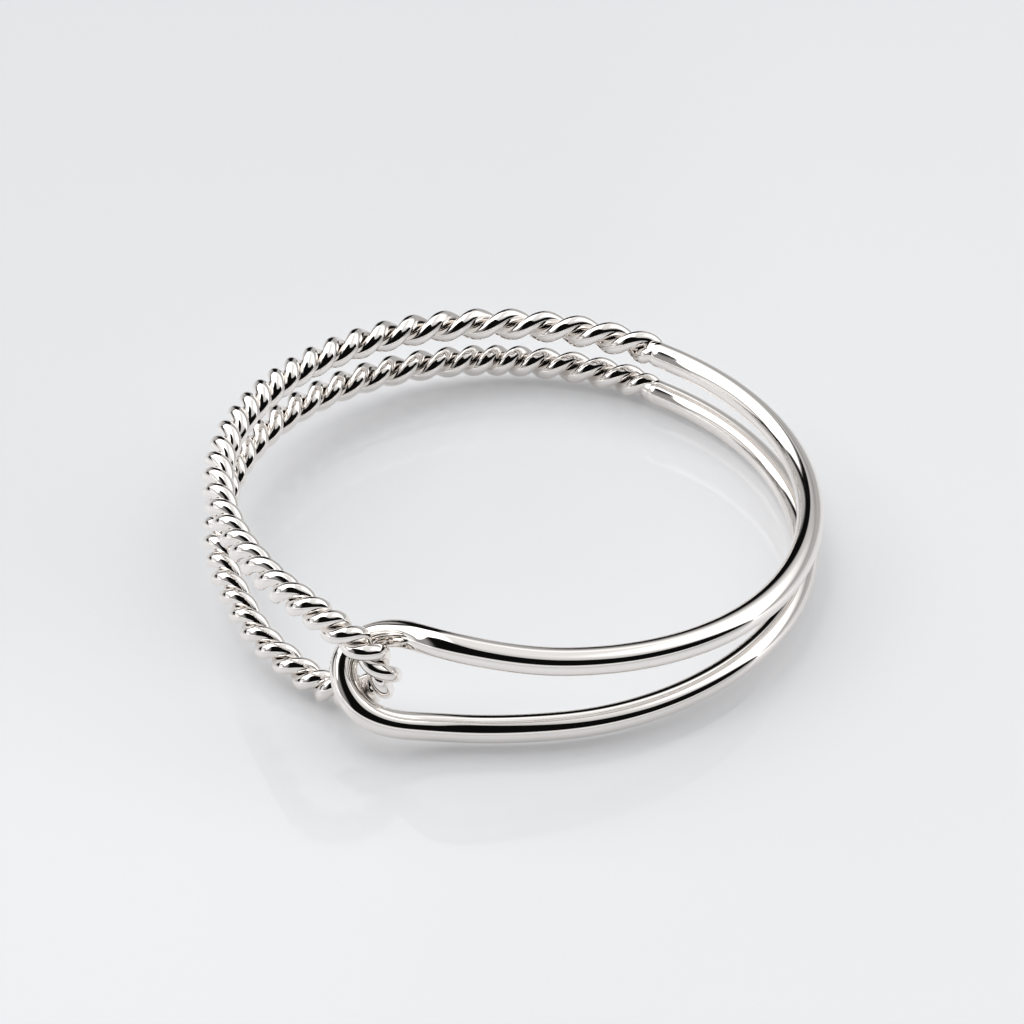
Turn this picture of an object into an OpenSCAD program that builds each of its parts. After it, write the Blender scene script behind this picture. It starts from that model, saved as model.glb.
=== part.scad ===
// Rope twist ring in silver, lying on its side with the finger hole upright, in millimetres.
// A smooth wire folded double makes the +X half and a two-wire rope folded double the -X half.
// Their U-bends hook through each other at the link (-Y), their ends are soldered at the back (+Y).
// The path runs once round the metal: plain upper strand, plain bend, plain lower strand,
// lower solder joint, rope lower strand, rope bend, rope upper strand, upper solder joint.

/* [Ring] */
// Inner diameter of the finger hole
finger_d = 18.1; // [16:0.1:20]
// Gap between the upper and lower rope strand at the back
strand_gap = 0.4; // [0.2:0.05:0.8]
// Clear gap between the two loops where they hook through each other
hook_gap = 0.04; // [0.02:0.01:0.2]
// Length of each solder joint along the wire
solder_l = 0.8; // [0.5:0.1:1.5]

/* [Plain wire] */
// Diameter of the smooth wire
plain_d = 0.87; // [0.75:0.01:1]
// How far each plain strand has spread from its height at the back when it reaches the link
plain_spread = 0.94; // [0.7:0.01:1.2]
// Angle from the link over which the plain strands spread
plain_eye_angle = 91; // [75:1:120]

/* [Rope] */
// Outer diameter of the rope at the solder joints
rope_d = 1.12; // [0.95:0.01:1.25]
// Outer diameter of the rope at the link, where it is drawn tighter
rope_link_d = 1; // [0.85:0.01:1.1]
// How far each rope strand has spread from its height at the back when it reaches the link
rope_spread = 1.23; // [0.9:0.01:1.5]
// Angle from the link over which the rope strands spread
rope_eye_angle = 87; // [75:1:120]
// Mean length of rope in which its two wires make one full turn
twist_lead = 1.85; // [1.7:0.05:2.4]
// Turn of the two wires about the rope where it leaves the lower solder joint
twist_start = 110; // [0:5:180]

/* [Smoothness] */
// Sections in each span of the plain wire
plain_sections = 5; // [4:1:6]
// Sections in each turn of the rope
sections_per_turn = 9; // [8:1:10]

/* [Hidden] */

// Columns of a path row and of a point on the path
ANGLE = 0;
HEIGHT = 1;
OFFSET = 2;

// Ring angles from the link at which the strands are guided, before their bends
LEG_ANGLES = [180, 150, 125, 103, 84, 68, 55, 44];
BACK_ANGLE = 180;
FULL_TURN = 360;

// How steeply the strands spread towards the link: 1 is a straight wedge
PLAIN_FLARE = 1.14;
ROPE_FLARE = 1.6;

// The bends, row by row towards the link. Columns: ring angle, spread of the upper and of the
// lower strand as shares of the loop's spread, outward shift of both as shares of hook_shift
PLAIN_BEND = [
    [34, 0.60, 0.56, 0.04, -0.03],
    [24, 0.87, 0.67, 0.13, 0.07],
    [14, 1.14, 0.72, 0.29, 0.29],
    [5, 0.48, 0.11, -0.60, 1.65]
];
ROPE_BEND = [
    [34, 0.42, 0.44, 0.08, -0.07],
    [25, 0.70, 0.60, 0.27, 0.08],
    [15, 0.98, 0.62, 0.72, -0.04],
    [6, 1.43, 1.05, 1.27, -0.26]
];
// The tip of each bend. Columns: ring angle past the link, height as a share of the loop's
// spread, outward shift as a share of hook_shift
PLAIN_TIP = [-4, 0.42, 0.38];
ROPE_TIP = [-13.3, 0.26, 0.34];

// The rope is twisted unevenly by hand. Columns: share of a strand from its solder joint to the
// bend's tip, lead of the lower strand and of the upper strand as shares of twist_lead
TWIST_LEADS = [
    [0, 1.02, 1.29],
    [0.10, 1.13, 1.28],
    [0.17, 0.83, 1.31],
    [0.26, 1.15, 1.19],
    [0.36, 1.06, 1.06],
    [0.45, 1.10, 0.89],
    [0.55, 0.95, 1.03],
    [0.65, 0.91, 1.01],
    [0.76, 0.95, 1.02],
    [0.84, 0.93, 1.24],
    [0.88, 0.88, 0.98],
    [0.92, 0.72, 0.69],
    [0.96, 0.76, 0.88],
    [1, 0.97, 0.97]
];
LOWER_LEADS = [for (row = TWIST_LEADS) [row[0], row[1]]];
UPPER_LEADS = [for (row = TWIST_LEADS) [row[0], row[2]]];

// Directions round one wire at which its skin is placed; past the last the wires are joined
WIRE_DIRECTIONS = [-115, -69, -23, 23, 69, 115];
WIRES = 2;
SIDES = WIRES * len(WIRE_DIRECTIONS);

// Fine samples of the path in each span, from which lengths are measured
FINE = 16;

// Share of the finger hole's radius beside the first two feet where no third foot is looked for
FOOT_SHARE = 0.25;

finger_r = finger_d / 2;
back_height = (rope_d + strand_gap) / 2;
hook_shift = (plain_d + rope_link_d) / 2 + hook_gap;

function mix(a, b, t) = a + (b - a) * t;
function ease(t) = t <= 0 ? 0 : t >= 1 ? 1 : t * t * (3 - 2 * t);
function reversed(list) = [for (i = [len(list) - 1 : -1 : 0]) list[i]];

// Guide rows of one strand from the back to its bend; side is 1 for the upper strand, -1 below
function leg_rows(side, spread, eye_angle, flare) = [
    for (angle = LEG_ANGLES)
        [angle, side * (back_height + spread * pow(max(0, 1 - angle / eye_angle), flare)), 0]
];
function bend_rows(side, spread, table) = [
    for (row = table)
        let (share = side > 0 ? row[1] : row[2], shift = side > 0 ? row[3] : row[4])
        [row[0], side * (back_height + spread * share), shift * hook_shift]
];
function tip_row(tip, spread) = [[tip[0], tip[1] * spread, tip[2] * hook_shift]];

// Guide rows of a whole loop: upper strand, tip of the bend, lower strand
function loop_rows(spread, eye_angle, flare, bend, tip) = concat(
    leg_rows(1, spread, eye_angle, flare),
    bend_rows(1, spread, bend),
    tip_row(tip, spread),
    reversed(bend_rows(-1, spread, bend)),
    reversed(leg_rows(-1, spread, eye_angle, flare))
);

plain_rows = loop_rows(plain_spread, plain_eye_angle, PLAIN_FLARE, PLAIN_BEND, PLAIN_TIP);
rope_rows = loop_rows(rope_spread, rope_eye_angle, ROPE_FLARE, ROPE_BEND, ROPE_TIP);

// The rope's rows run the other way round the ring, its first and last row are the plain wire's
rope_rows_onward = [
    for (i = [len(rope_rows) - 2 : -1 : 1])
        [FULL_TURN - rope_rows[i][ANGLE], rope_rows[i][HEIGHT], rope_rows[i][OFFSET]]
];
rows = concat(plain_rows, rope_rows_onward);
spans = len(rows);
plain_spans = len(plain_rows) - 1;

// Point of the closed cubic curve that the rows guide, at a place counted in rows
function along_rows(place) =
    let (
        i = floor(place),
        u = place - i,
        p = [for (k = [-1 : 2]) rows[(i + k + spans) % spans]]
    )
    (pow(1 - u, 3) * p[0] + (3 * pow(u, 3) - 6 * pow(u, 2) + 4) * p[1]
        + (-3 * pow(u, 3) + 3 * pow(u, 2) + 3 * u + 1) * p[2] + pow(u, 3) * p[3]) / 6;

// Diameter of the metal at an angle of the path: plain wire, solder joint, tapering rope
solder_angle = solder_l / (finger_r + plain_d / 2) * 180 / PI;
function rope_share(angle) = ease((angle - BACK_ANGLE) / solder_angle + 0.5);
function rope_diameter(angle) =
    mix(rope_d, rope_link_d, min(1, max(0, angle / BACK_ANGLE - 1)));
function diameter(angle) = mix(plain_d, rope_diameter(angle), rope_share(angle));

// Both halves lie against the finger, so the metal's inner side sets the radius
function flat_point(row) =
    let (r = finger_r + diameter(row[ANGLE]) / 2 + row[OFFSET])
    [r * sin(row[ANGLE]), -r * cos(row[ANGLE]), row[HEIGHT]];

// The ring rests on three points: one by the link, one at the back and one under the plain half.
// A tilt about X evens out the first two, then a lean to +X brings the plain strand down
fine_rows = [for (i = [0 : spans * FINE]) along_rows((i % (spans * FINE)) / FINE)];
fine_points = [for (row = fine_rows) flat_point(row)];
fine_radii = [for (row = fine_rows) diameter(row[ANGLE]) / 2];
function lows(points) = [for (i = [0 : len(points) - 1]) points[i].z - fine_radii[i]];
function lowest_point(points, side) =
    let (
        heights = lows(points),
        low = min([for (i = [0 : len(points) - 1]) if (points[i].y * side > 0) heights[i]]),
        found = [for (i = [0 : len(points) - 1]) if (heights[i] == low) points[i]]
    )
    [found[0].x, found[0].y, low];
function turned(p, angle) = [p.x * cos(angle) - p.y * sin(angle), p.x * sin(angle) + p.y * cos(angle)];

link_foot = lowest_point(fine_points, -1);
back_foot = lowest_point(fine_points, 1);
rest_tilt = atan((back_foot.z - link_foot.z) / (back_foot.y - link_foot.y));
function tilted(p) = let (yz = turned([p.y, p.z], -rest_tilt)) [p.x, yz.x, yz.y];

tilted_points = [for (p = fine_points) tilted(p)];
tilted_lows = lows(tilted_points);
foot = lowest_point(tilted_points, -1);
far_foot = lowest_point(tilted_points, 1);
foot_line = [far_foot.x - foot.x, far_foot.y - foot.y];
foot_way = foot_line / norm(foot_line);
function aside(p) = (p.x - foot.x) * foot_way.y - (p.y - foot.y) * foot_way.x;
function onward(p) = (p.x - foot.x) * foot_way.x + (p.y - foot.y) * foot_way.y;
rest_lean = min([
    for (i = [0 : len(tilted_points) - 1])
        if (aside(tilted_points[i]) > FOOT_SHARE * finger_r)
            atan((tilted_lows[i] - foot.z) / aside(tilted_points[i]))
]);
function leaned(p) =
    let (side = turned([aside(p), p.z], -rest_lean), way = onward(p))
    [
        foot.x + way * foot_way.x + side.x * foot_way.y,
        foot.y + way * foot_way.y - side.x * foot_way.x,
        side.y
    ];
rest_height = -min(lows([for (p = tilted_points) leaned(p)]));
function rested(p) = leaned(tilted(p)) + [0, 0, rest_height];

// Length along the rope to each fine sample, and the turns its wires have made there
rope_first = plain_spans * FINE;
rope_count = spans * FINE - rope_first;
rope_lengths = [
    for (
        i = 0, length = 0;
        i <= rope_count;
        length = length + (i < rope_count
            ? norm(fine_points[rope_first + i + 1] - fine_points[rope_first + i]) : 0),
        i = i + 1
    ) length
];
rope_l = rope_lengths[rope_count];
function lead(length) = twist_lead * (length < rope_l / 2
    ? lookup(length / (rope_l / 2), LOWER_LEADS)
    : lookup((rope_l - length) / (rope_l / 2), UPPER_LEADS));
rope_turns = [
    for (
        i = 0, turns = 0;
        i <= rope_count;
        turns = turns + (i < rope_count
            ? (rope_lengths[i + 1] - rope_lengths[i]) / lead(rope_lengths[i]) : 0),
        i = i + 1
    ) turns
];
turns_made = rope_turns[rope_count];
rope_rings = round(turns_made * sections_per_turn);
place_at_turns = [for (i = [0 : rope_count]) [rope_turns[i], (rope_first + i) / FINE]];
length_at_turns = [for (i = [0 : rope_count]) [rope_turns[i], rope_lengths[i]]];

// Section across one round wire of the rope: a slanted cut, longer sideways than the wire is wide.
// Its place in the rope's section follows from the wire's slope, which the lead sets
function wire_point(direction, d, turn_l) =
    let (
        r = d / 2 / WIRES,
        rise = turn_l / (2 * PI),
        slant = norm([r, rise]),
        turn = r * r * sin(direction) / (slant * rise) * 180 / PI
    )
    turned([r + r * cos(direction), r * sin(direction) * rise / slant], turn);
function rope_section(d, turn_l) = [
    for (wire = [0 : WIRES - 1])
        for (direction = WIRE_DIRECTIONS)
            wire_point(direction, d, turn_l) * (wire == 0 ? 1 : -1)
];
function round_section(d) = [
    for (k = [0 : SIDES - 1])
        let (direction = (k - (len(WIRE_DIRECTIONS) - 1) / 2) * FULL_TURN / SIDES)
        d / 2 * [cos(direction), sin(direction)]
];

// One ring of skin points at a place on the path; the wires turn left-handed along it, and the
// plain wire's facets make up the last part of a turn
STEP = 0.01;
function skin(place, turns, turn_l) =
    let (
        row = along_rows(place),
        middle = flat_point(row),
        ahead = flat_point(along_rows(place + STEP)) - flat_point(along_rows(place - STEP + spans)),
        along = ahead / norm(ahead),
        outward = [middle.x, middle.y, 0] / norm([middle.x, middle.y]),
        level = outward - along * (outward * along),
        across = level / norm(level),
        beside = cross(along, across),
        d = diameter(row[ANGLE]),
        plain = round_section(d),
        rope = rope_section(d, turn_l),
        share = rope_share(row[ANGLE])
    )
    [
        for (k = [0 : SIDES - 1])
            let (p = turned(mix(plain[k], rope[k], share), twist_start - turns * FULL_TURN))
            rested(middle + across * p.x + beside * p.y)
    ];

plain_skins = [
    for (i = [0 : plain_spans * plain_sections - 1])
        let (
            place = i / plain_sections,
            turns = (turns_made - round(turns_made)) * (1 - place / plain_spans)
        )
        skin(place, turns, place < plain_spans / 2 ? lead(rope_l) : lead(0))
];
rope_skins = [
    for (j = [0 : rope_rings - 1])
        let (turns = j / rope_rings * turns_made)
        skin(lookup(turns, place_at_turns), turns, lead(lookup(turns, length_at_turns)))
];

// A closed skin through rings of points, the last ring joined to the first
module closed_sweep(skins) {
    count = len(skins);
    points = [for (ring = skins) for (p = ring) p];
    faces = [
        for (i = [0 : count - 1])
            for (k = [0 : SIDES - 1])
                let (
                    a = i * SIDES + k,
                    b = i * SIDES + (k + 1) % SIDES,
                    c = (i + 1) % count * SIDES + (k + 1) % SIDES,
                    e = (i + 1) % count * SIDES + k
                )
                each [[a, c, b], [a, e, c]]
    ];
    polyhedron(points, faces);
}

// The whole soldered ring: plain loop, rope loop and both solder joints
module ring() {
    color("silver") closed_sweep(concat(plain_skins, rope_skins));
}

ring();
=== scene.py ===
# Rope twist ring in polished silver: the looks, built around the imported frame
import math

import bpy
import mathutils
import numpy as np
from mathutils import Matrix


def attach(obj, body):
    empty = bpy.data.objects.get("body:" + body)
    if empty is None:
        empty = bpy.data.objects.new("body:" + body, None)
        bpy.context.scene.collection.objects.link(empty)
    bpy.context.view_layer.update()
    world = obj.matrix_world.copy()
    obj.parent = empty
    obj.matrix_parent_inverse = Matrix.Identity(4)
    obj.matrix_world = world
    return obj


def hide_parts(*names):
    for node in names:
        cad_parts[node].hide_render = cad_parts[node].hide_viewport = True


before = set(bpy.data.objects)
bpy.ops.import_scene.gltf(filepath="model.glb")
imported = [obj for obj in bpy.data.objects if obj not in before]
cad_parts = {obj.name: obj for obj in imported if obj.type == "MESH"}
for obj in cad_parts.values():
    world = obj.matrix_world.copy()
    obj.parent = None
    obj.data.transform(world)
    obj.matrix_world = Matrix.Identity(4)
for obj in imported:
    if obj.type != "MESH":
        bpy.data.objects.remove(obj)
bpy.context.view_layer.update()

MM = 0.001

# Sizes of the part's source, in millimetres and degrees
FINGER_D = 18.1
STRAND_GAP = 0.4
HOOK_GAP = 0.04
SOLDER_L = 0.8
PLAIN_D = 0.87
PLAIN_SPREAD = 0.94
PLAIN_EYE_ANGLE = 91
ROPE_D = 1.12
ROPE_LINK_D = 1.0
ROPE_SPREAD = 1.23
ROPE_EYE_ANGLE = 87
TWIST_LEAD = 1.85
TWIST_START = 110

LEG_ANGLES = [180, 150, 125, 103, 84, 68, 55, 44]
PLAIN_FLARE = 1.14
ROPE_FLARE = 1.6
# Columns: ring angle, height shares of the upper and lower strand, outward shares of both
PLAIN_BEND = [
    (34, 0.60, 0.56, 0.04, -0.03),
    (24, 0.87, 0.67, 0.13, 0.07),
    (14, 1.14, 0.72, 0.29, 0.29),
    (5, 0.48, 0.11, -0.60, 1.65),
]
ROPE_BEND = [
    (34, 0.42, 0.44, 0.08, -0.07),
    (25, 0.70, 0.60, 0.27, 0.08),
    (15, 0.98, 0.62, 0.72, -0.04),
    (6, 1.43, 1.05, 1.27, -0.26),
]
PLAIN_TIP = (-4, 0.42, 0.38)
ROPE_TIP = (-13.3, 0.26, 0.34)
# Columns: share of a rope strand from its joint to the bend's tip, lead of the lower strand and
# of the upper strand as shares of the mean lead
TWIST_LEADS = [
    (0, 1.02, 1.29), (0.10, 1.13, 1.28), (0.17, 0.83, 1.31), (0.26, 1.15, 1.19),
    (0.36, 1.06, 1.06), (0.45, 1.10, 0.89), (0.55, 0.95, 1.03), (0.65, 0.91, 1.01),
    (0.76, 0.95, 1.02), (0.84, 0.93, 1.24), (0.88, 0.88, 0.98), (0.92, 0.72, 0.69),
    (0.96, 0.76, 0.88), (1, 0.97, 0.97),
]
# Share of the finger hole's radius beside the first two feet where no third foot is looked for,
# and samples to a span of the path when the feet are looked for
FOOT_SHARE = 0.25
FINE = 16

FINGER_R = FINGER_D / 2
BACK_HEIGHT = (ROPE_D + STRAND_GAP) / 2
HOOK_SHIFT = (PLAIN_D + ROPE_LINK_D) / 2 + HOOK_GAP
SOLDER_ANGLE = math.degrees(SOLDER_L / (FINGER_R + PLAIN_D / 2))


def loop_rows(spread, eye_angle, flare, bend, tip):
    """Guide rows of a loop: upper strand, tip of the bend, lower strand."""
    def leg(side):
        return [
            (angle, side * (BACK_HEIGHT + spread * max(0, 1 - angle / eye_angle) ** flare), 0)
            for angle in LEG_ANGLES
        ]

    def curve(side):
        height, shift = (1, 3) if side > 0 else (2, 4)
        return [
            (row[0], side * (BACK_HEIGHT + spread * row[height]), row[shift] * HOOK_SHIFT)
            for row in bend
        ]

    tip_row = [(tip[0], tip[1] * spread, tip[2] * HOOK_SHIFT)]
    return leg(1) + curve(1) + tip_row + curve(-1)[::-1] + leg(-1)[::-1]


PLAIN_ROWS = loop_rows(PLAIN_SPREAD, PLAIN_EYE_ANGLE, PLAIN_FLARE, PLAIN_BEND, PLAIN_TIP)
ROPE_ROWS = loop_rows(ROPE_SPREAD, ROPE_EYE_ANGLE, ROPE_FLARE, ROPE_BEND, ROPE_TIP)
ROPE_BACKWARDS = [(360 - angle, height, shift) for angle, height, shift in ROPE_ROWS[-2:0:-1]]
ROWS = np.array(PLAIN_ROWS + ROPE_BACKWARDS, float)
SPANS = len(ROWS)
PLAIN_SPANS = len(PLAIN_ROWS) - 1


def along_rows(place):
    """Rows of the closed cubic curve at places counted in guide rows."""
    span = np.floor(place).astype(int)
    share = (place - span)[:, None]
    before, here, after, beyond = (ROWS[(span + k) % SPANS] for k in (-1, 0, 1, 2))
    return (
        (1 - share) ** 3 * before
        + (3 * share ** 3 - 6 * share ** 2 + 4) * here
        + (-3 * share ** 3 + 3 * share ** 2 + 3 * share + 1) * after
        + share ** 3 * beyond
    ) / 6


def ease(share):
    share = np.clip(share, 0, 1)
    return share * share * (3 - 2 * share)


def rope_share(angle):
    return ease((angle - 180) / SOLDER_ANGLE + 0.5)


def rope_diameter(angle):
    return ROPE_D + (ROPE_LINK_D - ROPE_D) * np.clip(angle / 180 - 1, 0, 1)


def diameter(angle):
    return PLAIN_D + (rope_diameter(angle) - PLAIN_D) * rope_share(angle)


def flat_points(rows):
    """Points of rows before the ring is laid down, with the finger hole's axis upright."""
    radius = FINGER_R + diameter(rows[:, 0]) / 2 + rows[:, 2]
    angle = np.radians(rows[:, 0])
    return np.stack([radius * np.sin(angle), -radius * np.cos(angle), rows[:, 1]], -1)


def lengths_along(points):
    return np.concatenate([[0], np.cumsum(np.linalg.norm(np.diff(points, axis=0), axis=1))])


def unit(vectors):
    return vectors / np.linalg.norm(vectors, axis=1)[:, None]


def square_to(ahead, vectors):
    """Unit vectors at right angles to ahead, nearest to the given ones."""
    return unit(vectors - ahead * (vectors * ahead).sum(1)[:, None])


class Rest:
    """How the ring comes to rest on three points, as in the part's source. A tilt about X evens
    out the feet by the link and at the back, then a lean to +X brings the plain strand down."""

    def __init__(self):
        rows = along_rows((np.arange(SPANS * FINE + 1) % (SPANS * FINE)) / FINE)
        points = flat_points(rows)
        radii = diameter(rows[:, 0]) / 2

        def foot_of(points, side):
            lows = np.where(points[:, 1] * side > 0, points[:, 2] - radii, np.inf)
            lowest = lows.argmin()
            return np.array([points[lowest, 0], points[lowest, 1], lows[lowest]])

        link, back = foot_of(points, -1), foot_of(points, 1)
        self.tilt = math.atan((back[2] - link[2]) / (back[1] - link[1]))
        points = self.tilted(points)
        self.foot = foot_of(points, -1)
        way = foot_of(points, 1)[:2] - self.foot[:2]
        self.way = way / np.linalg.norm(way)
        aside = self.aside(points)
        beyond = aside > FOOT_SHARE * FINGER_R
        slopes = np.arctan((points[:, 2] - radii - self.foot[2])[beyond] / aside[beyond])
        self.lean = slopes.min()
        self.height = 0
        self.height = -(self.leaned(points)[:, 2] - radii).min()

    def tilted(self, points):
        x, y, z = points.T
        cos, sin = math.cos(self.tilt), math.sin(self.tilt)
        return np.stack([x, y * cos + z * sin, z * cos - y * sin], -1)

    def aside(self, points):
        """Distance to the side of the line through the first two feet."""
        x, y = (points[:, :2] - self.foot[:2]).T
        return x * self.way[1] - y * self.way[0]

    def leaned(self, points):
        cos, sin = math.cos(self.lean), math.sin(self.lean)
        x, y = (points[:, :2] - self.foot[:2]).T
        onward = x * self.way[0] + y * self.way[1]
        aside, z = self.aside(points), points[:, 2]
        side, z = aside * cos + z * sin, z * cos - aside * sin
        return np.stack([
            self.foot[0] + onward * self.way[0] + side * self.way[1],
            self.foot[1] + onward * self.way[1] - side * self.way[0],
            z + self.height,
        ], -1)

    def __call__(self, points):
        return self.leaned(self.tilted(points))


rest = Rest()


def axes_along(place):
    """Middle of the path at places, and its axes across the path, outwards and sideways."""
    step = 0.01
    middle = flat_points(along_rows(place))
    ahead = unit(flat_points(along_rows(place + step)) - flat_points(along_rows(place - step)))
    across = square_to(ahead, unit(middle * [1, 1, 0]))
    return middle, across, np.cross(ahead, across)


# Places along the rope by the turns its wires have made, with some spans over at both ends
OVER = 0.6
FINE_STEPS = 60
fine_places = np.linspace(
    PLAIN_SPANS - OVER, SPANS + OVER, int((SPANS - PLAIN_SPANS + 2 * OVER) * FINE_STEPS) + 1
)
fine_lengths = lengths_along(flat_points(along_rows(fine_places)))
fine_lengths -= np.interp(PLAIN_SPANS, fine_places, fine_lengths)
rope_l = np.interp(SPANS, fine_places, fine_lengths)
shares, lower_leads, upper_leads = zip(*TWIST_LEADS)
leads = TWIST_LEAD * np.where(
    fine_lengths < rope_l / 2,
    np.interp(fine_lengths / (rope_l / 2), shares, lower_leads),
    np.interp((rope_l - fine_lengths) / (rope_l / 2), shares, upper_leads),
)
steps_made = np.diff(fine_lengths) * (1 / leads[1:] + 1 / leads[:-1]) / 2
fine_turns = np.concatenate([[0], np.cumsum(steps_made)])
fine_turns -= np.interp(PLAIN_SPANS, fine_places, fine_turns)
turns_made = float(np.interp(SPANS, fine_places, fine_turns))


def mesh_object(name, points, faces, material):
    """A smooth-shaded object from points in millimetres."""
    mesh = bpy.data.meshes.new(name)
    mesh.from_pydata((rest(points) * MM).tolist(), [], faces)
    mesh.polygons.foreach_set("use_smooth", [True] * len(mesh.polygons))
    mesh.materials.append(material)
    mesh.update()
    obj = bpy.data.objects.new(name, mesh)
    bpy.context.scene.collection.objects.link(obj)
    return obj


def tube_faces(count, sides):
    """Quads between rings of points, and a fan of triangles to a pole at each end."""
    steps = [(k, (k + 1) % sides) for k in range(sides)]
    faces = []
    for ring in range(count - 1):
        here, there = ring * sides, (ring + 1) * sides
        faces += [(here + k, here + after, there + after, there + k) for k, after in steps]
    end, first, last = (count - 1) * sides, count * sides, count * sides + 1
    for k, after in steps:
        faces.append((first, after, k))
        faces.append((last, end + k, end + after))
    return faces


def tube(name, middle, across, beside, radii, sides, material):
    """A closed tube of round sections along points, with a pole at each end."""
    turn = np.arange(sides) * 2 * math.pi / sides
    rings = middle[:, None] + radii[:, None, None] * (
        across[:, None] * np.cos(turn)[None, :, None] + beside[:, None] * np.sin(turn)[None, :, None]
    )
    points = np.concatenate([rings.reshape(-1, 3), middle[:1], middle[-1:]])
    return mesh_object(name, points, tube_faces(len(middle), sides), material)


# Shader helpers
def node(tree, kind, **values):
    made = tree.nodes.new(kind)
    for key, value in values.items():
        if hasattr(made, key):
            setattr(made, key, value)
        else:
            made.inputs[key.replace("_", " ")].default_value = value
    return made


def put(tree, socket, value):
    if isinstance(value, (int, float)):
        socket.default_value = value
    else:
        tree.links.new(value, socket)


def maths(tree, operation, a, b=0):
    made = tree.nodes.new("ShaderNodeMath")
    made.operation = operation
    put(tree, made.inputs[0], a)
    put(tree, made.inputs[1], b)
    return made.outputs[0]


def blend(tree, a, b, share):
    """a where share is 0, b where it is 1."""
    made = tree.nodes.new("ShaderNodeMix")
    for number, value in ((0, share), (2, a), (3, b)):
        put(tree, made.inputs[number], value)
    return made.outputs[0]


def smooth_range(tree, value, low, high, to_low=0.0, to_high=1.0, kind="SMOOTHSTEP"):
    made = tree.nodes.new("ShaderNodeMapRange")
    made.interpolation_type = kind
    for key, number in (
        ("Value", value), ("From Min", low), ("From Max", high), ("To Min", to_low), ("To Max", to_high)
    ):
        put(tree, made.inputs[key], number)
    return made.outputs["Result"]


SILVER_DULL = (0.90, 0.865, 0.835, 1)
SILVER_BRIGHT = (0.93, 0.895, 0.865, 1)
SMOOTHEST = 0.035
ROUGHEST = 0.085
SKIN_SCALE = 700
MARK_SCALE = 9000


def silver():
    """Mirror-polished silver with faint polishing marks and a slightly uneven skin."""
    material = bpy.data.materials.new("polished_silver")
    material.use_nodes = True
    tree = material.node_tree
    tree.nodes.clear()
    out = tree.nodes.new("ShaderNodeOutputMaterial")
    shader = node(tree, "ShaderNodeBsdfPrincipled", Metallic=1.0)
    tree.links.new(shader.outputs[0], out.inputs[0])
    place = tree.nodes.new("ShaderNodeTexCoord").outputs["Object"]

    def noise(scale, detail, stretch=(1, 1, 1)):
        mapping = tree.nodes.new("ShaderNodeMapping")
        mapping.inputs["Scale"].default_value = stretch
        tree.links.new(place, mapping.inputs["Vector"])
        made = node(tree, "ShaderNodeTexNoise", Scale=scale, Detail=detail)
        tree.links.new(mapping.outputs[0], made.inputs["Vector"])
        return made.outputs["Fac"]

    broad = noise(SKIN_SCALE, 3)
    fine = noise(MARK_SCALE, 4, (1, 1, 3))
    colour = node(tree, "ShaderNodeMix", data_type="RGBA")
    colour.inputs[6].default_value = SILVER_DULL
    colour.inputs[7].default_value = SILVER_BRIGHT
    tree.links.new(broad, colour.inputs[0])
    tree.links.new(colour.outputs[2], shader.inputs["Base Color"])
    rough = smooth_range(tree, fine, 0.35, 0.75, SMOOTHEST, ROUGHEST)
    tree.links.new(rough, shader.inputs["Roughness"])
    bump = node(tree, "ShaderNodeBump", Strength=0.04, Distance=0.00001)
    tree.links.new(broad, bump.inputs["Height"])
    tree.links.new(bump.outputs[0], shader.inputs["Normal"])
    return material


SILVER = silver()

# Plain loop: one smooth round wire; millimetres from the middle of each joint to its end, the
# length over which an end is rounded, and the share of the thickness that an end loses
UPPER_BEGIN = -0.04
LOWER_BEGIN = 0.06
END_ROUND = 0.3
END_DROP = 0.25
END_RINGS = 12
PLAIN_RINGS = 600
PLAIN_SIDES = 56


def plain_wire():
    """The smooth wire, with rings close together where its ends are rounded."""
    places = np.linspace(-OVER, PLAIN_SPANS + OVER, PLAIN_RINGS)
    lengths = lengths_along(flat_points(along_rows(places)))
    first, last = np.interp([0, PLAIN_SPANS], places, lengths) + [UPPER_BEGIN, -LOWER_BEGIN]
    total = last - first
    ends = END_ROUND * (1 - np.cos(np.linspace(0, math.pi / 2, END_RINGS + 1)))[:-1]
    between = np.linspace(END_ROUND, total - END_ROUND, PLAIN_RINGS)
    at = np.concatenate([ends, between, total - ends[::-1]])
    middle, across, beside = axes_along(np.interp(at + first, lengths, places))
    inwards = np.clip(np.minimum(at, total - at) / END_ROUND, 0, 1)
    radii = PLAIN_D / 2 * (1 - END_DROP * (1 - np.sqrt(1 - (1 - inwards) ** 2)))
    return tube("plain_wire", middle, across, beside, radii, PLAIN_SIDES, SILVER)


# Rope loop: two round wires wound about each other, left-handed; the turns that they go past the
# middle of a joint, the turns over which they are drawn in there, and the share they lose
ROPE_END = 0.18
SHRINK_TURNS = 0.3
END_SHRINK = 0.36
RINGS_PER_TURN = 56
ROPE_SIDES = 40


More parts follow.
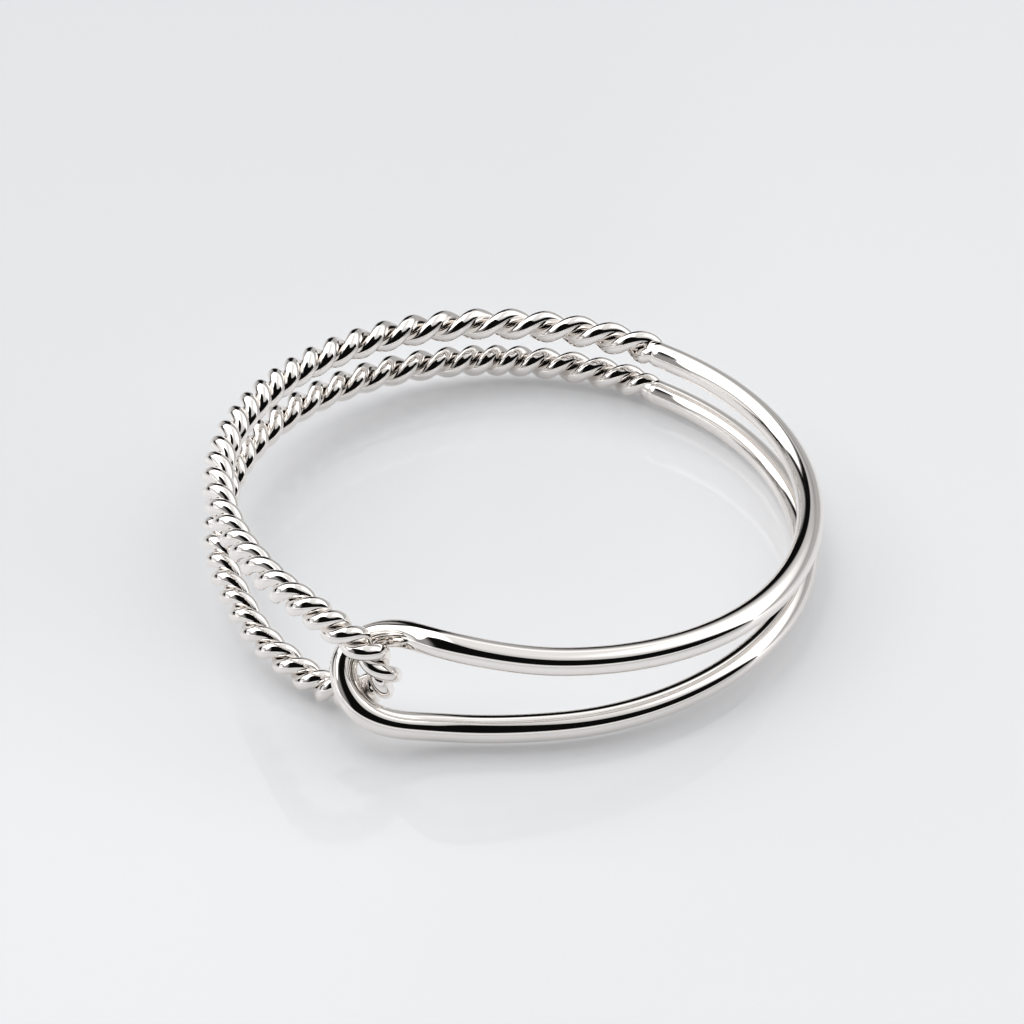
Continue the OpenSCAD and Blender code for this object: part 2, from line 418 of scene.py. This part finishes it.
def rope_wire(name, phase):
    """One of the rope's two wires; phase is its angle round the rope from the first one."""
    count = int((turns_made + 2 * ROPE_END) * RINGS_PER_TURN) + 1
    turns = np.linspace(-ROPE_END, turns_made + ROPE_END, count)
    places = np.interp(turns, fine_turns, fine_places)
    middle, across, beside = axes_along(places)
    left = np.minimum(turns, turns_made - turns) + ROPE_END
    shrink = 1 - END_SHRINK * ease(1 - left / SHRINK_TURNS)
    ring_angle = np.clip(along_rows(places)[:, 0], 180, 360)
    radius = rope_diameter(ring_angle) / 4 * shrink
    turn = np.radians(TWIST_START + phase) - turns * 2 * math.pi
    outward = across * np.cos(turn)[:, None] + beside * np.sin(turn)[:, None]
    wire = middle + outward * radius[:, None]
    ahead = unit(np.gradient(wire, axis=0))
    side = square_to(ahead, outward)
    return tube(name, wire, side, np.cross(ahead, side), radius, ROPE_SIDES, SILVER)


# Solder: how far it reaches into the smooth wire and into the rope, in spans of the path, its
# thickness as a share of the smooth wire's, where its taper begins, and the radius of its point
SOLDER_IN = 0.04
SOLDER_OUT = 0.085
SOLDER_THICK = 0.93
TAPER_BEGIN = 0.25
SOLDER_POINT = 0.001
SOLDER_RINGS = 33
SOLDER_SIDES = 32


def solder(name, place, way):
    """Solder that tapers from inside the smooth wire's end in between the rope's wires; the rope
    lies where places rise if way is 1, and where they fall if way is -1."""
    share = np.linspace(0, 1, SOLDER_RINGS)[::way]
    reach = SOLDER_OUT * share - SOLDER_IN * (1 - share)
    middle, across, beside = axes_along(place + way * reach)
    taper = np.clip((share - TAPER_BEGIN) / (1 - TAPER_BEGIN), 0, 1)
    radii = SOLDER_THICK * PLAIN_D / 2 * np.sqrt(1 - taper ** 2) + SOLDER_POINT
    return tube(name, middle, across, beside, radii, SOLDER_SIDES, SILVER)


pieces = [
    plain_wire(),
    rope_wire("rope_wire_a", 0),
    rope_wire("rope_wire_b", 180),
    solder("solder_upper", SPANS, -1),
    solder("solder_lower", PLAIN_SPANS, 1),
]
for piece in pieces:
    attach(piece, "root")
    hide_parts("ring")

# Camera at the photo's viewing angle, a long lens close by; the lens as a share of its sensor
AZIMUTH = math.radians(29.852)
ELEVATION = math.radians(37.88)
ROLL = math.radians(0.295)
DISTANCE = 0.1
FOCAL = 2.9875
SENSOR = 36
TARGET = np.array([-0.411, 0.516, 1.0]) * MM
back = np.array([
    math.cos(ELEVATION) * math.sin(AZIMUTH), -math.cos(ELEVATION) * math.cos(AZIMUTH), math.sin(ELEVATION)
])
right = np.array([math.cos(AZIMUTH), math.sin(AZIMUTH), 0])
up = np.cross(back, right)
right, up = (
    math.cos(ROLL) * right + math.sin(ROLL) * up,
    -math.sin(ROLL) * right + math.cos(ROLL) * up,
)
lens = bpy.data.cameras.new("camera")
lens.sensor_width = SENSOR
lens.lens = FOCAL * SENSOR
lens.clip_start = 0.005
lens.clip_end = 20
camera = bpy.data.objects.new("camera", lens)
pose = np.eye(4)
pose[:3, 0], pose[:3, 1], pose[:3, 2] = right, up, back
pose[:3, 3] = TARGET + DISTANCE * back
camera.matrix_world = mathutils.Matrix(pose.tolist())
bpy.context.scene.collection.objects.link(camera)
bpy.context.scene.camera = camera
bpy.context.scene.view_settings.view_transform = "Standard"


FLOOR_HALF = 1.5
FLOOR_COLOUR = (0.79, 0.80, 0.815, 1)
GLOW_COLOUR = (0.97, 0.98, 1, 1)
FLOOR_GLOW = 0.17


def floor():
    """A pale acrylic sheet, lit faintly from below, that mirrors the ring a little."""
    mesh = bpy.data.meshes.new("floor")
    corners = [(x * FLOOR_HALF, y * FLOOR_HALF, 0) for x, y in ((-1, -1), (1, -1), (1, 1), (-1, 1))]
    mesh.from_pydata(corners, [], [(0, 1, 2, 3)])
    obj = bpy.data.objects.new("floor", mesh)
    bpy.context.scene.collection.objects.link(obj)
    material = bpy.data.materials.new("floor")
    material.use_nodes = True
    shader = material.node_tree.nodes["Principled BSDF"]
    shader.inputs["Base Color"].default_value = FLOOR_COLOUR
    shader.inputs["Roughness"].default_value = 0.06
    shader.inputs["IOR"].default_value = 1.5
    shader.inputs["Specular IOR Level"].default_value = 0.3
    shader.inputs["Emission Color"].default_value = GLOW_COLOUR
    shader.inputs["Emission Strength"].default_value = FLOOR_GLOW
    mesh.materials.append(material)


# Brightness of the two softboxes, of the grey left wall and of the backdrop
LEFT_BOX = 2.0
RIGHT_BOX = 1.4
LEFT_WALL = 0.3
BACKDROP = 0.45


def studio():
    """Soft studio light: two bright softboxes overhead, left and right, with paler cloth between
    them, a dark room on the camera's side with a grey wall at the left, and a grey backdrop with
    a dark gap in its middle."""
    world = bpy.data.worlds.new("studio")
    bpy.context.scene.world = world
    world.use_nodes = True
    tree = world.node_tree
    tree.nodes.clear()
    out = tree.nodes.new("ShaderNodeOutputWorld")
    background = tree.nodes.new("ShaderNodeBackground")
    tree.links.new(background.outputs[0], out.inputs[0])
    coordinates = tree.nodes.new("ShaderNodeTexCoord").outputs["Generated"]
    turn = tree.nodes.new("ShaderNodeMapping")
    turn.inputs["Rotation"].default_value = (0, 0, -AZIMUTH)
    tree.links.new(coordinates, turn.inputs["Vector"])
    xyz = tree.nodes.new("ShaderNodeSeparateXYZ")
    tree.links.new(turn.outputs[0], xyz.inputs[0])
    side, y, z = xyz.outputs

    def plus(a, b):
        return maths(tree, "ADD", a, b)

    def times(a, b):
        return maths(tree, "MULTIPLY", a, b)

    def rise(value, low, high, to_low=0.0, to_high=1.0):
        return smooth_range(tree, value, low, high, to_low, to_high)

    # Angle over the ring from the near horizon, in degrees; side is -1 at the left, 1 at the right
    over = times(maths(tree, "ARCTAN2", z, times(y, -1)), 180 / math.pi)

    # Near edge of the overhead light, and the light's three parts
    edge = plus(rise(side, -0.95, -0.5, 45, 86), rise(side, -0.33, 0.35, 0, -33))
    edge = plus(edge, rise(side, 0.6, 1, 0, 26))
    lit = times(rise(over, plus(edge, -2), plus(edge, 2)), rise(side, -0.91, -0.86))
    cloth = plus(rise(over, edge, plus(edge, 30), 0.62, 0.87), rise(over, 118, 130, 0, 0.3))
    light = blend(tree, LEFT_BOX, cloth, rise(side, -0.12, 0.02))
    light = blend(tree, light, RIGHT_BOX, times(rise(side, 0.35, 0.5), rise(over, 68, 90)))
    light = times(light, lit)

    # Far side: the cloth fades out slowly, the left softbox ends sharply, the backdrop is below
    slow = times(smooth_range(tree, over, 132, 158, 1, 0, "LINEAR"), rise(over, 151, 159, 1, 0))
    strip = plus(rise(side, -0.8, -0.6, 150, 144), rise(side, -0.4, -0.15, 0, -5))
    quick = rise(over, plus(strip, -3), plus(strip, 3), 1, 0)
    light = times(light, blend(tree, quick, slow, rise(side, 0, 0.1)))
    backdrop = plus(rise(side, 0.06, 0.2, 0, BACKDROP), rise(side, -0.45, -0.3, BACKDROP, 0))
    backdrop = times(backdrop, rise(side, -0.86, -0.76))
    light = plus(light, times(backdrop, rise(over, 150, 158)))

    # The room's left wall is grey and brightest at its far left
    wall = plus(rise(side, -0.75, -0.55, LEFT_WALL, 0), rise(side, -0.96, -0.9, 2 * LEFT_WALL, 0))
    light = maths(tree, "MAXIMUM", light, times(wall, rise(over, 140, 148, 1, 0)))

    # The table's pale front edge shows just above the near horizon
    light = plus(light, rise(over, 5, 9, 0.75, 0.004))
    tree.links.new(light, background.inputs["Strength"])
    background.inputs["Color"].default_value = (1, 1, 1, 1)


floor()
studio()
